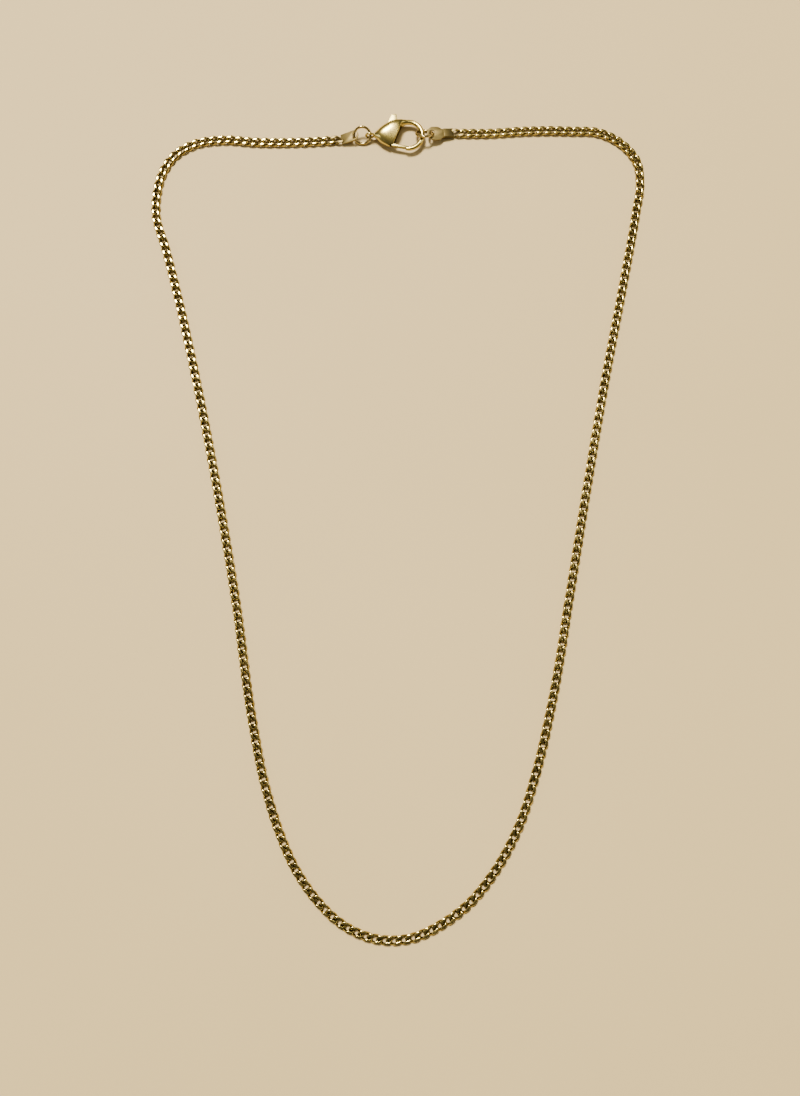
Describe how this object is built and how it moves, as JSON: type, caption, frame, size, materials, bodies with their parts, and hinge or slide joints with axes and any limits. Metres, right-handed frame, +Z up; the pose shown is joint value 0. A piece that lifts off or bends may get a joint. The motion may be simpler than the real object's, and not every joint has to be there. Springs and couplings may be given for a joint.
{
  "type": "curb chain necklace",
  "caption": "Flat diamond-cut curb chain necklace lying closed, with soldered end tags, jump rings and a lobster clasp whose sprung lever opens.",
  "frame": {"origin": "on the surface that the necklace lies on, under the middle of its bounding box", "axes": "+Z up off the surface, +Y along the loop's long way towards the clasp, +X across the loop to the right as seen from above with the clasp at the top"},
  "size_m": [0.1031, 0.1679, 0.0029],
  "materials": {
    "chain_gold": "polished, with flat diamond-cut faces on each link",
    "tag_gold": "satin, slightly darkened",
    "wire_gold": "polished wire",
    "clasp_gold": "satin polish, worn on the puffed side",
    "lever_gold": "satin"
  },
  "bodies": {
    "necklace": {"chain_left": "chain_gold", "chain_right": "chain_gold", "end_tag_left": "tag_gold", "end_tag_right": "tag_gold", "jump_ring_left": "wire_gold", "jump_ring_right": "wire_gold", "clasp_body": "clasp_gold"},
    "lever": {"clasp_lever": "lever_gold"}
  },
  "joints": [
    {"name": "lever_hinge", "type": "hinge", "parent": "necklace", "child": "lever", "pos_m": [-0.00178, 0.0785, 0.00145], "axis": [0, 0, 1], "range_deg": [0, 24], "stiffness_Nm_per_rad": 0.002, "springref_deg": -8.59}
  ]
}
